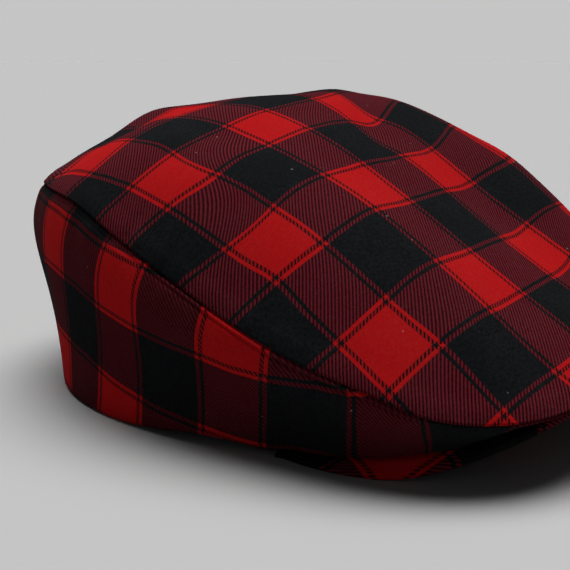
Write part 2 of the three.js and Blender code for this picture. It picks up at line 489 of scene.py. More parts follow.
@dataclass
class Sheet:
    """A closed body from rows of points, with its cloth coordinates.

    rows are points in mm, as rows x columns. Where the columns or rows close round, cloth has
    one column or row more than rows, so that the check may break there.
    """

    rows: np.ndarray
    cloth: np.ndarray
    outside_rows: int  # rows of faces on the outside, the rest show the reverse
    wrap_columns: bool
    wrap_rows: bool

    def faces(self) -> list[tuple[list[tuple[int, int]], Face]]:
        """Lists the faces, which look outwards.

        Returns:
            The corners of each face and its material place. A corner is the number of its
            point and the number of its cloth coordinate.
        """
        count, columns = self.rows.shape[:2]
        cloth_columns = self.cloth.shape[1]

        def corner(row: int, column: int) -> tuple[int, int]:
            """Numbers the corner at a row and column."""
            return row % count * columns + column % columns, row * cloth_columns + column

        end_row = count if self.wrap_rows else count - 1
        end_column = columns if self.wrap_columns else columns - 1
        found = []
        for row in range(end_row):
            outside = row < self.outside_rows or row == count - 1
            side = Face.OUTSIDE if outside else Face.REVERSE
            for column in range(end_column):
                near = [corner(row, column), corner(row + 1, column)]
                far = [corner(row + 1, column + 1), corner(row, column + 1)]
                found.append((near + far, side))
        if not self.wrap_rows:
            first = [corner(0, column) for column in range(columns)]
            last = [corner(end_row, column) for column in reversed(range(columns))]
            found += [(first, Face.OUTSIDE), (last, Face.REVERSE)]
        if not self.wrap_columns:
            first = [corner(row, 0) for row in reversed(range(count))]
            last = [corner(row, end_column) for row in range(count)]
            found += [(first, Face.OUTSIDE), (last, Face.OUTSIDE)]
        return found

    def build(self, name: str, form: CapForm) -> bpy.types.Object:
        """Makes the mesh object with a smooth surface and a cloth map.

        Args:
            name: Name of the piece.
            form: Gives the way from pattern to frame.

        Returns:
            The new object, linked into the scene.
        """
        faces = self.faces()
        corners = [[point for point, _ in ring] for ring, _ in faces]
        places = [place for ring, _ in faces for _, place in ring]
        mesh = bpy.data.meshes.new(name)
        mesh.from_pydata(form.to_frame(self.rows.reshape(-1, 3)).tolist(), [], corners)
        mesh.polygons.foreach_set("material_index", [side.value for _, side in faces])
        mesh.polygons.foreach_set("use_smooth", [True] * len(faces))
        chart = self.cloth.reshape(-1, 2)[places] / Sett().repeat
        layer = mesh.uv_layers.new(name=CLOTH_MAP)
        layer.data.foreach_set("uv", chart.astype(np.float32).ravel())
        mesh.validate()
        mesh.update()
        piece = bpy.data.objects.new(name, mesh)
        bpy.context.scene.collection.objects.link(piece)
        return piece


# ---- Finishes -------------------------------------------------------------------------------


class Twill(Enum):
    """Which way the fine stripes of the half tone run over the check."""

    RISING = 1
    FALLING = -1


class Maths(Enum):
    """Sums that the sketches use."""

    ADD = "ADD"
    SUBTRACT = "SUBTRACT"
    MULTIPLY = "MULTIPLY"
    MULTIPLY_ADD = "MULTIPLY_ADD"
    MINIMUM = "MINIMUM"
    MAXIMUM = "MAXIMUM"
    FRACTION = "FRACT"


@dataclass(frozen=True)
class Sett:
    """The check's stripes, the same both ways, in mm from a thin light stripe's middle."""

    repeat: float = 50.8
    wide_light: float = 20.0
    wide_dark: float = 25.2
    thin: float = 1.4
    fine_stripes: int = 31
    fine_edges: tuple[float, float] = (0.17, 0.33)  # where a fine stripe rises, in its own repeat
    softness: float = 0.22

    def changes(self) -> list[tuple[float, float]]:
        """Lists where the light and dark stripes change.

        Returns:
            Pairs of a place in mm and the tone from there on, 1 for light and 0 for dark.
        """
        place, tone = self.thin / 2, 0.0
        found = [(place, tone)]
        for width in (self.thin, self.wide_light, self.thin, self.thin, self.wide_dark):
            place, tone = place + width, 1.0 - tone
            found.append((place, tone))
        return found

    def thin_dark_changes(self) -> list[tuple[float, float]]:
        """Lists where the thin dark stripes change.

        Returns:
            Pairs of a place in mm and the tone from there on, 1 on a thin dark stripe.
        """
        first = self.thin / 2
        second = first + self.thin + self.wide_light
        edges = [(first, first + self.thin), (second, second + self.thin)]
        return [(place, tone) for edge in edges for place, tone in zip(edge, (1.0, 0.0))]


@dataclass(frozen=True)
class Grain:
    """A soft random pattern through the cloth."""

    scale: float  # how fine it is, for each metre
    detail: float  # how many layers it has
    roughness: float = 0.5  # how strong the finer layers are


class NodeSketch:
    """Writes the nodes of a material or of the sky in short lines."""

    def __init__(self, owner: bpy.types.Material | bpy.types.World) -> None:
        """Empties the owner's node tree and keeps it.

        Args:
            owner: The material or sky.
        """
        owner.use_nodes = True
        self.tree = owner.node_tree
        self.tree.nodes.clear()

    def node(self, kind: str, **settings: object) -> bpy.types.Node:
        """Adds a node.

        Args:
            kind: The node's type.
            **settings: Its properties.

        Returns:
            The node.
        """
        made = self.tree.nodes.new(kind)
        for name, value in settings.items():
            setattr(made, name, value)
        return made

    def feed(self, socket: bpy.types.NodeSocket, source: object) -> None:
        """Fills a socket.

        Args:
            socket: The socket.
            source: A socket to link to it, a colour or a plain value.
        """
        if isinstance(source, bpy.types.NodeSocket):
            self.tree.links.new(source, socket)
        else:
            socket.default_value = (*source, 1.0) if isinstance(source, tuple) else source

    def finish(self, kind: str, shader: bpy.types.Node) -> None:
        """Ends the sketch in an output that shows the shader."""
        self.feed(self.node(kind).inputs[0], shader.outputs[0])

    def surface(self, colour: object, roughness: float, specular: float) -> bpy.types.Node:
        """Adds the surface shader and shows it.

        Args:
            colour: The base colour.
            roughness: How matt the surface is.
            specular: How much it reflects.

        Returns:
            The shader.
        """
        made = self.node("ShaderNodeBsdfPrincipled")
        self.feed(made.inputs["Base Color"], colour)
        made.inputs["Roughness"].default_value = roughness
        made.inputs["Specular IOR Level"].default_value = specular
        self.finish("ShaderNodeOutputMaterial", made)
        return made

    def maths(self, kind: Maths, *values: object) -> bpy.types.NodeSocket:
        """Adds a sum.

        Args:
            kind: Which sum.
            *values: Up to three values that go in.

        Returns:
            The sum's result.
        """
        made = self.node("ShaderNodeMath", operation=kind.value)
        for socket, value in zip(made.inputs, values):
            self.feed(socket, value)
        return made.outputs[0]

    def ramp(self, value: object, stops: list[tuple[float, float]]) -> bpy.types.NodeSocket:
        """Adds a grey ramp.

        Args:
            value: What goes in.
            stops: Pairs of a place from 0 to 1 and a tone.

        Returns:
            The ramp's colour.
        """
        made = self.node("ShaderNodeValToRGB")
        elements = made.color_ramp.elements
        while len(elements) > 1:
            elements.remove(elements[0])
        elements[0].position = stops[0][0]
        elements[0].color = (stops[0][1],) * 3 + (1.0,)
        for place, tone in stops[1:]:
            elements.new(place).color = (tone, tone, tone, 1.0)
        self.feed(made.inputs[0], value)
        return made.outputs[0]

    def noise(self, where: object, grain: Grain) -> bpy.types.NodeSocket:
        """Adds a noise.

        Args:
            where: Where the noise is read.
            grain: Its pattern.

        Returns:
            The noise's value, about 0.5 on average.
        """
        made = self.node("ShaderNodeTexNoise")
        self.feed(made.inputs["Vector"], where)
        made.inputs["Scale"].default_value = grain.scale
        made.inputs["Detail"].default_value = grain.detail
        made.inputs["Roughness"].default_value = grain.roughness
        return made.outputs["Fac"]

    def blend(self, share: object, a: object, b: object) -> bpy.types.NodeSocket:
        """Mixes two colours.

        Args:
            share: How much of the second colour there is.
            a: The first colour.
            b: The second colour.

        Returns:
            The mixed colour.
        """
        made = self.node("ShaderNodeMix", data_type="RGBA")
        self.feed(made.inputs[0], share)
        for place, colour in zip(MIX_COLOURS, (a, b)):
            self.feed(made.inputs[place], colour)
        return made.outputs[MIX_RESULT]


@dataclass(frozen=True)
class CheckedFlannel:
    """Brushed cotton in a light and dark check, with a soft nap."""

    name: str
    twill: Twill
    sett: Sett = Sett()
    red: Colour = (0.33, 0.0034, 0.0042)
    black: Colour = (0.0034, 0.0040, 0.0046)
    plum: Colour = (0.100, 0.0074, 0.0138)
    maroon: Colour = (0.017, 0.0002, 0.0006)
    dash_light: Colour = (0.24, 0.0035, 0.0045)
    dash_dark: Colour = (0.006, 0.0008, 0.0014)
    weave: Grain = Grain(90.0, 2.0)
    weave_wander: float = 0.012  # how far the stripes stray, in repeats
    nap_tone: Colour = (0.62, 0.60, 0.62)
    nap: float = 0.020
    tufts: Grain = Grain(900.0, 4.0, 0.8)
    tuft_edges: tuple[float, float] = (0.38, 0.68)
    wear: Grain = Grain(45.0, 3.0)
    fleck: float = 0.18
    flecks_per_metre: float = 85.0
    fleck_edges: tuple[float, float] = (0.022, 0.04)
    fading: float = 0.0
    reverse_fading: float = 0.03
    roughness: float = 0.95
    specular: float = 0.015
    sheen: float = 0.004
    sheen_roughness: float = 0.6
    pile: Grain = Grain(1100.0, 4.0, 0.7)
    pile_height: float = 0.00012  # metres

    def reverse(self) -> "CheckedFlannel":
        """Gives the same cloth seen from its paler reverse."""
        return replace(self, name=f"{self.name}_reverse", fading=self.reverse_fading)

    def stripes(
        self, sketch: NodeSketch, place: object, changes: list[tuple[float, float]]
    ) -> bpy.types.NodeSocket:
        """Makes the stripes of one direction.

        Args:
            sketch: The material's sketch.
            place: Cloth coordinate in repeats.
            changes: Where the stripes change, from the Sett.

        Returns:
            1 on the chosen stripes and 0 beside them.
        """
        half = self.sett.softness / 2
        stops = [(0.0, 1.0 - changes[0][1])]
        for at, tone in changes:
            stops.append(((at - half) / self.sett.repeat, 1.0 - tone))
            stops.append(((at + half) / self.sett.repeat, tone))
        return sketch.ramp(sketch.maths(Maths.FRACTION, place), stops)

    def half_tone(self, sketch: NodeSketch, u: object, v: object) -> bpy.types.NodeSocket:
        """Makes the fine slanting stripes that show where light crosses dark.

        Args:
            sketch: The material's sketch.
            u: Cloth coordinate across, in repeats.
            v: Cloth coordinate along, in repeats.

        Returns:
            1 on the fine stripes and 0 between them.
        """
        slant = sketch.maths(Maths.MULTIPLY_ADD, v, float(self.twill.value), u)
        count = sketch.maths(Maths.MULTIPLY, slant, float(self.sett.fine_stripes))
        low, high = self.sett.fine_edges
        stops = [(0.0, 0.0), (low, 0.0), (high, 1.0), (1.0 - high, 1.0), (1.0 - low, 0.0)]
        return sketch.ramp(sketch.maths(Maths.FRACTION, count), stops)

    def printed(self, sketch: NodeSketch, where: object) -> bpy.types.NodeSocket:
        """Makes the check.

        Args:
            sketch: The material's sketch.
            where: Place in the object, in metres.

        Returns:
            The colour of the clean cloth.
        """
        chart = sketch.node("ShaderNodeUVMap", uv_map=CLOTH_MAP)
        split = sketch.node("ShaderNodeSeparateXYZ")
        sketch.feed(split.inputs[0], chart.outputs[0])
        shake, size = sketch.noise(where, self.weave), self.weave_wander
        wander = sketch.maths(Maths.MULTIPLY_ADD, shake, size, -size / 2)
        u = sketch.maths(Maths.ADD, split.outputs[0], wander)
        v = sketch.maths(Maths.SUBTRACT, split.outputs[1], wander)
        bands, thin = self.sett.changes(), self.sett.thin_dark_changes()
        across, along = (self.stripes(sketch, place, bands) for place in (u, v))
        thin_across, thin_along = (self.stripes(sketch, place, thin) for place in (u, v))
        both = sketch.maths(Maths.MINIMUM, across, along)
        either = sketch.maths(Maths.MAXIMUM, across, along)
        crossing = sketch.maths(Maths.SUBTRACT, either, both)
        fine = self.half_tone(sketch, u, v)
        striped = sketch.blend(fine, self.maroon, self.plum)
        dashed = sketch.blend(fine, self.dash_dark, self.dash_light)
        narrow = sketch.maths(Maths.MAXIMUM, thin_across, thin_along)
        striped = sketch.blend(narrow, striped, dashed)
        plain = sketch.blend(both, self.black, self.red)
        return sketch.blend(crossing, plain, striped)

    def lint(self, sketch: NodeSketch, where: object) -> bpy.types.NodeSocket:
        """Scatters a few pale flecks of lint.

        Args:
            sketch: The material's sketch.
            where: Place in the object, in metres.

        Returns:
            How far the cloth's colour is covered, 0 but for the flecks.
        """
        cells = sketch.node("ShaderNodeTexVoronoi")
        sketch.feed(cells.inputs["Vector"], where)
        cells.inputs["Scale"].default_value = self.flecks_per_metre
        core, rim = self.fleck_edges
        spots = sketch.ramp(cells.outputs["Distance"], [(core, 1.0), (rim, 0.0)])
        return sketch.maths(Maths.MULTIPLY, spots, self.fleck)

    def haze(self, sketch: NodeSketch, where: object) -> bpy.types.NodeSocket:
        """Makes what pales the cloth: its worn nap, its fading and its lint.

        Args:
            sketch: The material's sketch.
            where: Place in the object, in metres.

        Returns:
            How far the cloth's colour is covered.
        """
        low, high = self.tuft_edges
        fuzz = sketch.ramp(sketch.noise(where, self.tufts), [(low, 0.0), (high, 1.0)])
        worn = sketch.maths(Maths.MULTIPLY, fuzz, sketch.noise(where, self.wear))
        pale = sketch.maths(Maths.MULTIPLY_ADD, worn, self.nap, self.fading)
        return sketch.maths(Maths.ADD, pale, self.lint(sketch, where))

    def make(self) -> bpy.types.Material:
        """Makes the material.

        Returns:
            The cloth, with its colour, its soft sheen and its raised pile.
        """
        material = bpy.data.materials.new(self.name)
        sketch = NodeSketch(material)
        where = sketch.node("ShaderNodeTexCoord").outputs["Object"]
        colour = sketch.blend(self.haze(sketch, where), self.printed(sketch, where), self.nap_tone)
        shader = sketch.surface(colour, self.roughness, self.specular)
        shader.inputs["Sheen Weight"].default_value = self.sheen
        shader.inputs["Sheen Roughness"].default_value = self.sheen_roughness
        relief = sketch.node("ShaderNodeBump")
        relief.inputs["Distance"].default_value = self.pile_height
        relief.inputs["Strength"].default_value = 1.0
        sketch.feed(relief.inputs["Height"], sketch.noise(where, self.pile))
        sketch.feed(shader.inputs["Normal"], relief.outputs[0])
        return material


@dataclass(frozen=True)
class PlainFloor:
    """A matt pale floor."""

    colour: Colour = (0.38, 0.38, 0.38)
    roughness: float = 1.0
    specular: float = 0.0

    def make(self) -> bpy.types.Material:
        """Makes the material.

        Returns:
            The floor's material.
        """
        material = bpy.data.materials.new("pale_floor")
        NodeSketch(material).surface(self.colour, self.roughness, self.specular)
        return material


# ---- Cutting the cloth ----------------------------------------------------------------------


@dataclass(frozen=True)
class Tug:
    """A place where the cloth is drawn aside, as far as shift at its middle."""

    x: float
    y: float
    width: float
    shift: float

    def pull(self, x: np.ndarray, y: np.ndarray) -> np.ndarray:
        """Gives the shift at points in plan."""
        spread = ((x - self.x) ** 2 + (y - self.y) ** 2) / self.width**2
        return self.shift * np.exp(-spread)


@dataclass(frozen=True)
class Drape:
    """How one thread direction of the crown's cloth lies, beyond its plain length.

    The terms count lengths over the crown in units of 100 mm: across from the middle line,
    and along from the seam's centre towards the back.
    """

    start: float
    across: float
    along: float
    across_twice: float
    skew: float
    along_twice: float
    tugs: tuple[Tug, ...]
    unit: float = 100.0

    def offset(
        self, x: np.ndarray, y: np.ndarray, across: np.ndarray, along: np.ndarray
    ) -> np.ndarray:
        """Adds up the terms.

        Args:
            x: X in plan.
            y: Y in plan.
            across: Length over the crown from its middle line, in mm.
            along: Length over the crown from the seam's centre, in mm.

        Returns:
            The offset in mm at each point.
        """
        a, b = across / self.unit, along / self.unit
        terms = self.across * a + self.along * b + self.across_twice * a * a
        terms = terms + self.skew * a * b + self.along_twice * b * b
        return self.start + terms + sum(tug.pull(x, y) for tug in self.tugs)


@dataclass(frozen=True)
class Chart:
    """Lengths over the crown, worked out on a square net in plan and read between its knots."""

    form: CapForm
    step: float = 1.0

    def knots(self, low: float, high: float) -> np.ndarray:
        """Spaces the net's knots to one step past both ends."""
        return np.arange(math.floor(low / self.step) - 1, math.ceil(high / self.step) + 2) * self.step

    def lengths(self, x: np.ndarray, y: np.ndarray) -> tuple[np.ndarray, np.ndarray]:
        """Measures lengths over the crown.

        Args:
            x: X of points in plan.
            y: Y of the points.

        Returns:
            Each point's length across from the middle line, and its length along from the
            seam's centre towards the back.
        """
        seam = self.form.seam
        xs = self.knots(-seam.half_width, seam.half_width)
        ys = self.knots(seam.centre_y - seam.front, seam.centre_y + seam.back)
        net_x, net_y = np.meshgrid(xs, ys, indexing="ij")
        net = np.stack([net_x, net_y, self.form.crown_height(net_x, net_y)], -1)
        i, j = (x - xs[0]) / self.step, (y - ys[0]) / self.step
        across = arc_lengths(net[..., [0, 2]], 0)
        along = arc_lengths(net[..., [1, 2]], 1)
        middle = np.full_like(j, -xs[0] / self.step)
        centre = np.full_like(i, (seam.centre_y - ys[0]) / self.step)
        return (
            self.read(across, i, j) - self.read(across, middle, j),
            self.read(along, i, j) - self.read(along, i, centre),
        )

    @staticmethod
    def read(table: np.ndarray, i: np.ndarray, j: np.ndarray) -> np.ndarray:
        """Reads a table between its knots.

        Args:
            table: A value for each knot.
            i: Place in the first direction, in steps.
            j: Place in the second direction, in steps.

        Returns:
            The value at each place.
        """
        i0, j0 = i.astype(int), j.astype(int)
        low = mix(table[i0, j0], table[i0 + 1, j0], i - i0)
        high = mix(table[i0, j0 + 1], table[i0 + 1, j0 + 1], i - i0)
        return mix(low, high, j - j0)


CROWN_ACROSS = Drape(
    start=93.8,
    across=4.3,
    along=-5.4,
    across_twice=2.5,
    skew=1.9,
    along_twice=-6.6,
    tugs=(
        Tug(7, 13, 18.2, -6.6),
        Tug(-58, -3, 14.3, 5.0),
        Tug(-56, -108, 13.6, -2.9),
        Tug(-80, -54, 11.5, -2.3),
        Tug(-67, 56, 18, -4.5),
    ),
)

CROWN_ALONG = Drape(
    start=-23.8,
    across=4.7,
    along=3.5,
    across_twice=21.4,
    skew=-4.6,
    along_twice=1.3,
    tugs=(
        Tug(58, -73, 21.5, -11.1),
        Tug(-74, -27, 14.9, -6.8),
        Tug(-86, 32, 26.3, -8.0),
        Tug(31, -25, 21.6, -4.0),
        Tug(-62, 9, 28.1, -4.7),
        Tug(-73, -73, 20.6, -2.8),
        Tug(-75, 58, 18, -7.5),
    ),
)


@dataclass(frozen=True)
class BandStation:
    """How the band's check lies at a length from the centre back."""

    length: float
    slip: float  # shift along the band
    lean: float  # shift along the band for each mm down it
    start: float  # thread at the seam, from the middle of the first light line
    spread: float  # threads passed for each mm down the band


BAND_STATIONS = (
    BandStation(0, -105.7, 0.0, -3.0, 1.0),
    BandStation(60, -105.7, 0.16, -3.5, 1.0),
    BandStation(104, -105.9, 0.22, -4.2, 1.0),
    BandStation(125, -104.9, 0.24, -5.1, 0.99),
    BandStation(150, -102.8, 0.22, -4.8, 0.985),
    BandStation(172, -99.6, 0.15, -1.3, 0.97),
    BandStation(200, -101.4, 0.15, 5.6, 0.95),
    BandStation(214, -103.4, 0.15, 8.8, 0.935),
    BandStation(228, -105.4, 0.15, 12.9, 0.905),
    BandStation(240, -107.0, 0.10, 17.1, 0.87),
    BandStation(250, -108.0, 0.04, 20.2, 0.86),
    BandStation(262, -108.9, -0.02, 22.6, 0.82),
    BandStation(268, -109.1, -0.10, 25.0, 0.78),
    BandStation(290, -109.7, -0.34, 28.0, 0.82),
    BandStation(330, -109.7, -0.25, 34.8, 0.82),
    BandStation(380, -109.7, 0.0, 42.0, 0.82),
)


# ---- Pieces ---------------------------------------------------------------------------------


@dataclass
class Crown:
    """The one-piece crown, with a soft rolled edge along its seam."""

    form: CapForm
    columns: int = 420
    outer_rows: int = 120
    inner_rows: int = 34
    apex_share: float = 0.012  # how far out the first row is
    row_power: float = 0.72
    groove_depth: float = 0.30
    groove_width: float = 1.3
    puff: float = 0.35
    puff_place: float = 5.0
    puff_width: float = 3.5
    pucker: float = 0.32
    pucker_start: float = 3.0
    pucker_fade: float = 13.0
    pucker_level: float = 0.55
    pucker_swing: float = 0.45
    puckers: tuple[Ripple, ...] = (
        Ripple(53, bunching=1.3, bunches=7, bunch_start=0.4),
        Ripple(87, height=0.6, bunching=2.1, bunches=5, bunch_start=1.9),
    )
    swings: tuple[Ripple, Ripple] = (Ripple(3, start=0.8), Ripple(8, start=2.6))
    edge_lift: float = 0.05
    inner_edge_lift: float = 0.15
    inner_edge_inset: float = 0.6
    edge_thinning: float = 0.2
    edge_thinning_fade: float = 3.0
    across: Drape = CROWN_ACROSS
    along: Drape = CROWN_ALONG

    def gathers(self, turn: np.ndarray, to_seam: np.ndarray) -> np.ndarray:
        """Gathers the cloth into small uneven ripples next to the seam.

        Args:
            turn: Turns in degrees.
            to_seam: How far up from the seam each point is.

        Returns:
            Height over the smooth crown.
        """
        waves = sum(ripple.lift(turn) for ripple in self.puckers)
        first, second = (ripple.lift(turn) for ripple in self.swings)
        strength = self.pucker_level + self.pucker_swing * first * second
        fade = beside_seam(to_seam, self.pucker_start, self.pucker_fade)
        return self.pucker * waves * strength * fade

    def cloth_places(self, rows: np.ndarray) -> np.ndarray:
        """Charts the cloth over the crown.

        Args:
            rows: Points of the face in mm.

        Returns:
            Cloth coordinates in mm, across and along the thread.
        """
        x, y = rows[..., 0], rows[..., 1]
        across, along = Chart(self.form).lengths(x, y)
        u = across + self.across.offset(x, y, across, along)
        v = -along + self.along.offset(x, y, across, along)
        return np.stack([u, v], -1)

    def face(self, rows: int) -> tuple[np.ndarray, np.ndarray]:
        """Lays out the smooth outer face, with its rows closer together near the seam.

        Args:
            rows: How many rows it has, from next to the apex to the seam.

        Returns:
            Points of the face, and their distance from the seam over it.
        """
        shares = np.linspace(self.apex_share, 1, rows) ** self.row_power
        share, turn = np.meshgrid(shares, all_round(self.columns), indexing="ij")
        x, y = self.form.place(turn, self.form.reach(self.form.seam, turn) * share)
        points = np.stack([x, y, self.form.crown_height(x, y)], -1)
        lengths = arc_lengths(points, 0)
        return points, lengths[-1:] - lengths

    def outside(self, face: np.ndarray, to_seam: np.ndarray) -> np.ndarray:
        """Adds the gathers, the soft roll and the seam's groove.

        Args:
            face: Points of the smooth face.
            to_seam: Their distance from the seam.

        Returns:
            Points of the outer face.
        """
        turns = all_round(self.columns)
        relief = self.gathers(turns, to_seam)
        relief = relief + self.puff * bell(to_seam, self.puff_place, self.puff_width)
        relief = relief - self.groove_depth * bell(to_seam, 0.0, self.groove_width)
        shaped = face + outward_normals(face) * relief[..., None]
        shaped[-1, :, 2] = self.form.around("seam", turns) + self.edge_lift
        return shaped

    def inside(self, face: np.ndarray, to_seam: np.ndarray) -> np.ndarray:
        """Sets the inner face a wall's thickness in, a little less next to the seam.

        Args:
            face: Points of the smooth face.
            to_seam: Their distance from the seam.

        Returns:
            Points of the inner face.
        """
        turns = all_round(self.columns)
        wall = self.form.crown_wall - self.edge_thinning * np.exp(-to_seam / self.edge_thinning_fade)
        shaped = face - outward_normals(face) * wall[..., None]
        shaped[-1] = face[-1] - outwards(turns) * (self.form.crown_wall + self.inner_edge_inset)
        shaped[-1, :, 2] = self.form.around("seam", turns) + self.inner_edge_lift
        return shaped

    def build(self) -> bpy.types.Object:
        """Builds the crown as one closed body.

        Returns:
            The crown.
        """
        outer, outer_to_seam = self.face(self.outer_rows)
        inner, inner_to_seam = self.face(self.inner_rows)
        below = self.inside(inner, inner_to_seam)
        rows = np.concatenate([self.outside(outer, outer_to_seam), below[::-1]], 0)
        cloth = self.cloth_places(np.concatenate([outer, inner[::-1]], 0))
        cloth = np.concatenate([cloth, cloth[:, :1]], 1)
        sheet = Sheet(rows, cloth, self.outer_rows, wrap_columns=True, wrap_rows=False)
        crown = sheet.build("crown_cloth", self.form)
        flannel = CheckedFlannel("crown_flannel", Twill.RISING)
        crown.data.materials.append(flannel.make())
        crown.data.materials.append(flannel.reverse().make())
        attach(crown, "root")
        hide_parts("crown")
        return crown


@dataclass
class SideBand:
    """The side band, from its hem up to the groove of the seam."""

    form: CapForm
    columns: int = 640
    outer_rows: int = 74
    inner_rows: int = 16
    row_ease: float = 0.6  # how much closer together the rows are at both edges
    groove_depth: float = 0.85
    groove_width: float = 1.5
    welt: float = 0.38
    welt_place: float = 1.1
    welt_width: float = 0.6
    welt_groove_width: float = 0.75
    welt_fades: tuple[float, float] = (80.0, 112.0)
    crease_depth: float = 0.55
    crease_place: float = 2.1
    crease_width: float = 0.5
    ripple: float = 0.3
    ripple_start: float = 4.0
    ripple_fade: float = 12.0
    ripples: tuple[Ripple, ...] = (
        Ripple(31, bunching=1.7, bunches=6),
        Ripple(47, start=0.9, height=0.7),
    )
    hem_round: float = 0.9
    hem_round_width: float = 1.0
    hem_lift: float = 0.25
    inner_hem_lift: float = 0.35
    hem_thread: float = 1.2  # length of cloth round the hem's outer half
    plum: Colour = (0.070, 0.0045, 0.0088)
    maroon: Colour = (0.024, 0.0006, 0.0012)
    stations: tuple[BandStation, ...] = BAND_STATIONS

    def cloth_places(self, rows: np.ndarray) -> np.ndarray:
        """Charts the cloth over the band.

        Args:
            rows: Points from the seam down to the foot, as rows x (columns + 1).

        Returns:
            Cloth coordinates in mm, along the band and down it.
        """
        down = arc_lengths(rows, 0)
        seam = arc_lengths(rows[0][None], 1)[0]
        length = np.minimum(seam, seam[-1] - seam)
        marks = [station.length for station in self.stations]

        def column(name: str) -> np.ndarray:
            """Reads one column of the stations."""
            return np.interp(length, marks, [getattr(s, name) for s in self.stations])

        half = seam[-1] / 2
        u = length + column("slip") + column("lean") * down
        front = half + self.stations[-1].slip
        u = np.where(seam <= half, u, 2 * front - u)
        v = column("start") + down * column("spread")
        return np.stack([u, v], -1)

    def welted_edge(self, turn: np.ndarray, from_seam: np.ndarray) -> np.ndarray:
        """Shapes the top edge: the seam's groove, a thin welt and the crease below it.

        Args:
            turn: Turn of each point, in degrees. The welt fades towards the back.
            from_seam: How far down the band each point is.

        Returns:
            Height over the plain band.
        """
        welted = 1 - smooth(*self.welt_fades, half_turn(turn))
        groove_width = mix(self.groove_width, self.welt_groove_width, welted)
        groove = self.groove_depth * bell(from_seam, 0.0, groove_width)
        welt = self.welt * welted * bell(from_seam, self.welt_place, self.welt_width)
        crease = self.crease_depth * bell(from_seam, self.crease_place, self.crease_width)
        return welt - groove - crease

    def face(self) -> np.ndarray:
        """Lays out the plain outer face, with its rows closer together at both edges.

        Returns:
            Points from the seam down to the foot.
        """
        t = np.linspace(0, 1, self.outer_rows)
        down = 1 - mix(t, 0.5 - 0.5 * np.cos(np.pi * t), self.row_ease)
        share, turn = np.meshgrid(down, all_round(self.columns), indexing="ij")
        return self.form.band_point(turn, share)

    def outside(self, face: np.ndarray) -> np.ndarray:
        """Adds the ripples, the welted edge and the round hem, and keeps below the crown.

        Args:
            face: Points of the plain face.

        Returns:
            Points of the outer face.
        """
        turns = all_round(self.columns)
        from_seam = arc_lengths(face, 0)
        from_foot = from_seam[-1:] - from_seam
        waves = sum(ripple.lift(turns) for ripple in self.ripples)
        relief = self.ripple * waves * beside_seam(from_seam, self.ripple_start, self.ripple_fade)
        relief = relief + self.welted_edge(turns, from_seam)
        relief = relief - self.hem_round * bell(from_foot, 0.0, self.hem_round_width)
        shaped = face + outward_normals(face) * relief[..., None]
        ceiling = self.form.around("seam", turns) - self.form.gap
        shaped[..., 2] = np.minimum(shaped[..., 2], ceiling)
        shaped[-1, :, 2] += self.hem_lift
        return shaped

    def inside(self) -> np.ndarray:
        """Sets the inner face a wall's thickness in.

        Returns:
            Points from the foot up to the seam.
        """
        turns, wall = all_round(self.columns), self.form.band_wall
        share, turn = np.meshgrid(np.linspace(0, 1, self.inner_rows), turns, indexing="ij")
        shaped = self.form.band_point(turn, share) - outwards(turn) * wall
        shaped[0] = self.form.foot_point(turns, self.form.foot_distance(turns) - wall)
        shaped[0, :, 2] += self.inner_hem_lift
        return shaped

    def build(self) -> bpy.types.Object:
        """Builds the band as one closed body.

        Returns:
            The band.
        """
        turns = all_round(self.columns)
        face = self.face()
        outer, inner = self.outside(face), self.inside()
        hem = (outer[-1:] + inner[:1]) / 2
        under = self.form.foot_distance(turns) - self.form.band_wall / 2
        hem[0, :, 2] = self.form.foot_point(turns, under)[:, 2]
        rows = np.concatenate([outer, hem, inner], 0)
        cloth = self.cloth_places(np.concatenate([face, face[:, :1]], 1))
        hem_cloth = cloth[-1:] + np.array([0, self.hem_thread])
        reverse = cloth[::-1][np.linspace(0, self.outer_rows - 1, self.inner_rows).astype(int)]
        cloth = np.concatenate([cloth, hem_cloth, reverse, cloth[:1]], 0)
        sheet = Sheet(rows, cloth, self.outer_rows + 1, wrap_columns=True, wrap_rows=True)
        band = sheet.build("side_band_cloth", self.form)
        flannel = CheckedFlannel("band_flannel", Twill.FALLING, plum=self.plum, maroon=self.maroon)
        band.data.materials.append(flannel.make())
        band.data.materials.append(flannel.reverse().make())
        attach(band, "root")
        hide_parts("side_band")
        return band


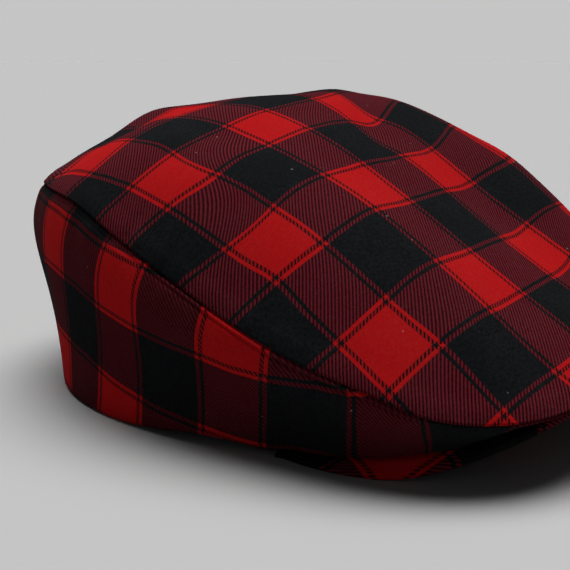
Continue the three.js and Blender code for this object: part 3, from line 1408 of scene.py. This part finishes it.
@dataclass
class Peak:
    """The stiff peak, covered in the same cloth cut askew."""

    form: CapForm
    columns: int = 260
    face_rows: int = 26
    edge_rows: int = 10
    row_power: float = 1.6
    lip_drop: float = 1.9
    lip_turn: float = 45.0
    lip_width: float = 11.0
    off_floor: float = 0.1  # the lip's sag stops this far above the floor
    grain: float = 24.1
    start_across: float = 36.6
    start_along: float = -100.0

    def cloth_places(self, rows: np.ndarray, turns: np.ndarray) -> np.ndarray:
        """Charts the cloth over the peak, on a grain turned askew.

        Args:
            rows: Points from the opening over the edge and back below, as rows x columns.
            turns: Turn of each column.

        Returns:
            Cloth coordinates in mm, with one row more than rows.
        """
        c, s = math.cos(math.radians(self.grain)), math.sin(math.radians(self.grain))
        opening = np.hypot(rows[0, :, 0], rows[0, :, 1] - self.form.seam.centre_y)
        laid = opening[None] + arc_lengths(rows, 0)
        laid = np.concatenate([laid, laid[-1:] + self.form.peak_wall], 0)
        x, y = self.form.place(turns, laid)
        u = x * c - y * s + self.start_across
        v = -(x * s + y * c) + self.start_along
        return np.stack([u, v], -1)

    def profile(self, turns: np.ndarray) -> np.ndarray:
        """Lays out the peak: its top from the opening, its round edge and its underside.

        Args:
            turns: Turn of each column.

        Returns:
            Points as rows x columns.
        """
        form = self.form
        thick = form.peak_thickness(turns)
        inset = thick / 2
        flat_reach = form.peak_edge(turns) - inset
        opening = form.reach(form.rim.inset(form.band_wall), turns)
        t = np.linspace(0, 1, self.face_rows)[:, None]
        x, y = form.place(turns, mix(opening, flat_reach, 1 - (1 - t) ** self.row_power))
        under = form.peak_underside(x, y)
        arc = np.linspace(0, np.pi, self.edge_rows + 2)[1:-1, None]
        edge_x, edge_y = form.place(turns, flat_reach + inset * np.sin(arc))
        edge_under = form.peak_underside(*form.place(turns, flat_reach))
        edge = np.stack([edge_x, edge_y, edge_under + inset + inset * np.cos(arc)], -1)
        top, low = (np.stack([x, y, height], -1) for height in (under + thick, under))
        return np.concatenate([top, edge, low[::-1]], 0)

    def sag(self, rows: np.ndarray, turns: np.ndarray) -> None:
        """Lets the peak's lip sag softly beside its front, down to the floor at most.

        Args:
            rows: Points of the peak, whose heights are changed.
            turns: Turn of each column.
        """
        drop = self.lip_drop * bell(half_turn(turns), self.lip_turn, self.lip_width)
        plan = np.hypot(rows[..., 0], rows[..., 1] - self.form.seam.centre_y)
        near_edge = smooth(-self.form.ledge, 0.0, plan - self.form.peak_edge(turns))
        rows[..., 2] = np.maximum(rows[..., 2] - drop * near_edge, self.off_floor)

    def build(self) -> bpy.types.Object:
        """Builds the peak as one closed body.

        Returns:
            The peak.
        """
        turns = np.linspace(-self.form.tip_turn, self.form.tip_turn, self.columns)
        rows = self.profile(turns)
        self.sag(rows, turns)
        cloth = self.cloth_places(rows, turns)
        sheet = Sheet(rows, cloth, len(rows), wrap_columns=False, wrap_rows=True)
        peak = sheet.build("peak_cloth", self.form)
        peak.data.materials.append(CheckedFlannel("peak_flannel", Twill.FALLING).make())
        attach(peak, "root")
        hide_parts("peak")
        return peak


# ---- Studio ---------------------------------------------------------------------------------


@dataclass
class Studio:
    """Floor, soft light and camera."""

    form: CapForm
    azimuth: float = -50.81
    elevation: float = 12.71
    distance: float = 454.5
    aim_height: float = 40.0
    aside: float = -7.66
    above: float = -2.83
    lens: float = 69.604
    sensor: float = 36.0
    clip: tuple[float, float] = (0.01, 100.0)  # metres
    floor_radius: float = 6.0  # metres
    floor_sides: int = 96
    box_towards: tuple[float, float, float] = (0.22, 0.16, 0.94)
    box_edges: tuple[float, float] = (30.0, 16.0)  # degrees from its middle
    box_tone: float = 9.0
    sky_tone: float = 0.05
    horizon_tone: float = 0.56
    horizon_edges: tuple[float, float] = (0.08, 0.16)  # height of a direction of length 1

    def camera(self) -> None:
        """Sets the camera."""
        a, e = math.radians(self.azimuth), math.radians(self.elevation)
        back = np.array([math.sin(a) * math.cos(e), -math.cos(a) * math.cos(e), math.sin(e)])
        right = np.array([math.cos(a), math.sin(a), 0.0])
        up = np.cross(back, right)
        spot = np.array([0, 0, self.aim_height]) + back * self.distance
        spot = spot + right * self.aside + up * self.above
        data = bpy.data.cameras.new("camera")
        data.lens, data.sensor_width = self.lens, self.sensor
        data.clip_start, data.clip_end = self.clip
        camera = bpy.data.objects.new("camera", data)
        turned = Matrix([right, up, back]).transposed()
        camera.matrix_world = Matrix.Translation(self.form.to_frame(spot)) @ turned.to_4x4()
        bpy.context.scene.collection.objects.link(camera)
        bpy.context.scene.camera = camera

    def floor(self) -> None:
        """Lays the floor."""
        angles = [2 * math.pi * side / self.floor_sides for side in range(self.floor_sides)]
        corners = [
            (self.floor_radius * math.cos(angle), self.floor_radius * math.sin(angle), 0.0)
            for angle in angles
        ]
        mesh = bpy.data.meshes.new("floor")
        mesh.from_pydata(corners, [], [list(range(self.floor_sides))])
        mesh.materials.append(PlainFloor().make())
        floor = bpy.data.objects.new("floor", mesh)
        bpy.context.scene.collection.objects.link(floor)

    def light(self) -> None:
        """Lights the cap from one large soft box overhead, under a quiet sky."""
        world = bpy.data.worlds.new("sky")
        bpy.context.scene.world = world
        sketch = NodeSketch(world)
        where = sketch.node("ShaderNodeTexCoord").outputs["Generated"]
        towards = sketch.node("ShaderNodeVectorMath", operation="DOT_PRODUCT")
        sketch.feed(towards.inputs[0], where)
        towards.inputs[1].default_value = Vector(self.box_towards).normalized()
        split = sketch.node("ShaderNodeSeparateXYZ")
        sketch.feed(split.inputs[0], where)
        edge, core = (math.cos(math.radians(angle)) for angle in self.box_edges)
        box = sketch.ramp(towards.outputs["Value"], [(edge, 0.0), (core, 1.0)])
        horizon, quiet = (tone / self.box_tone for tone in (self.horizon_tone, self.sky_tone))
        low, high = self.horizon_edges
        sky = sketch.ramp(split.outputs[2], [(low, horizon), (high, quiet)])
        shader = sketch.node("ShaderNodeBackground")
        sketch.feed(shader.inputs[0], sketch.maths(Maths.MAXIMUM, box, sky))
        shader.inputs[1].default_value = self.box_tone
        sketch.finish("ShaderNodeOutputWorld", shader)

    def build(self) -> None:
        """Sets up the whole studio."""
        self.camera()
        self.floor()
        self.light()
        bpy.context.scene.view_settings.view_transform = "Standard"


def main() -> None:
    """Builds the cap and its studio, and notes the sizes."""
    logging.basicConfig(level=logging.INFO, format="%(name)s: %(message)s")
    form = CapForm()
    for maker in (Crown(form), SideBand(form), Peak(form)):
        piece = maker.build()
        LOG.info("%s: %d faces", piece.name, len(piece.data.polygons))
    Studio(form).build()
    bpy.context.view_layer.update()


if __name__ == "__main__":
    main()
